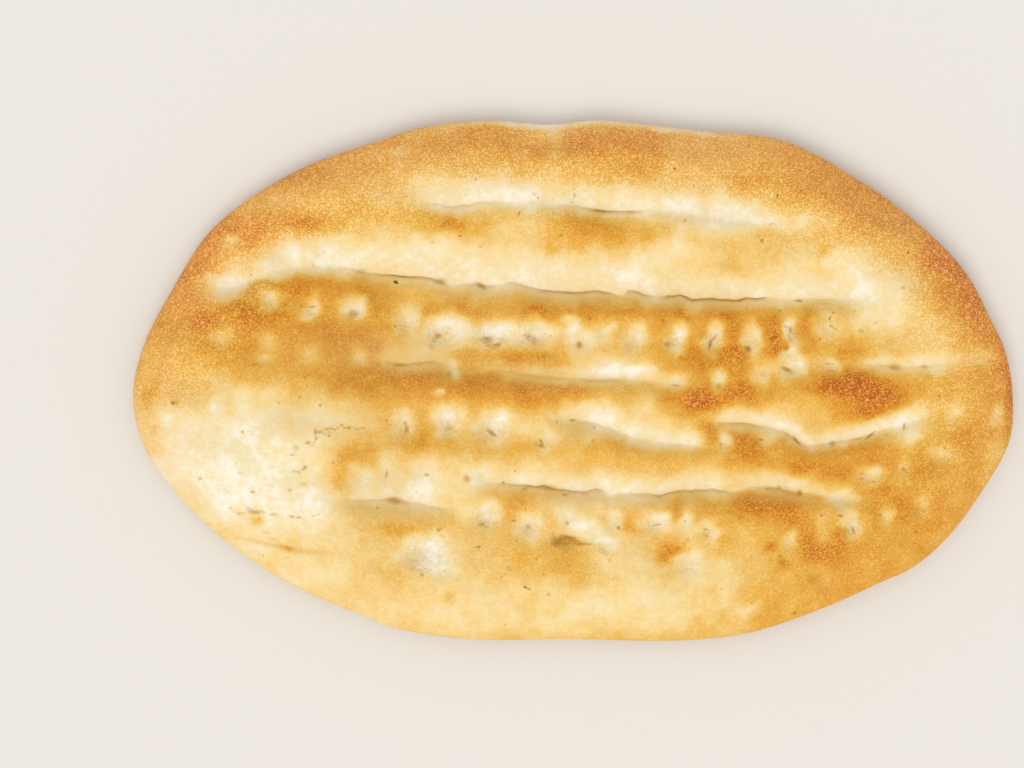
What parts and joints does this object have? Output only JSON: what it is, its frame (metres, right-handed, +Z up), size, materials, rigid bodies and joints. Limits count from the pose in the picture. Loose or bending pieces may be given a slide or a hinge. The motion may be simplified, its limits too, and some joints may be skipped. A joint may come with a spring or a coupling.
{
  "type": "naan bread",
  "caption": "Oval risen naan flatbread with long finger furrows, fingertip dimples between browned ridges, a rounded rim and a flat underside.",
  "frame": {"origin": "middle of the bread's flat base, on the surface it lies on", "axes": "+X along the bread's length, +Y across it, +Z up through the baked top"},
  "size_m": [0.3, 0.1775, 0.0203],
  "materials": {
    "crust": "matte baked crust, golden brown on the ridges and cream in the furrows"
  },
  "bodies": {
    "root": {"naan": "crust"}
  },
  "joints": []
}
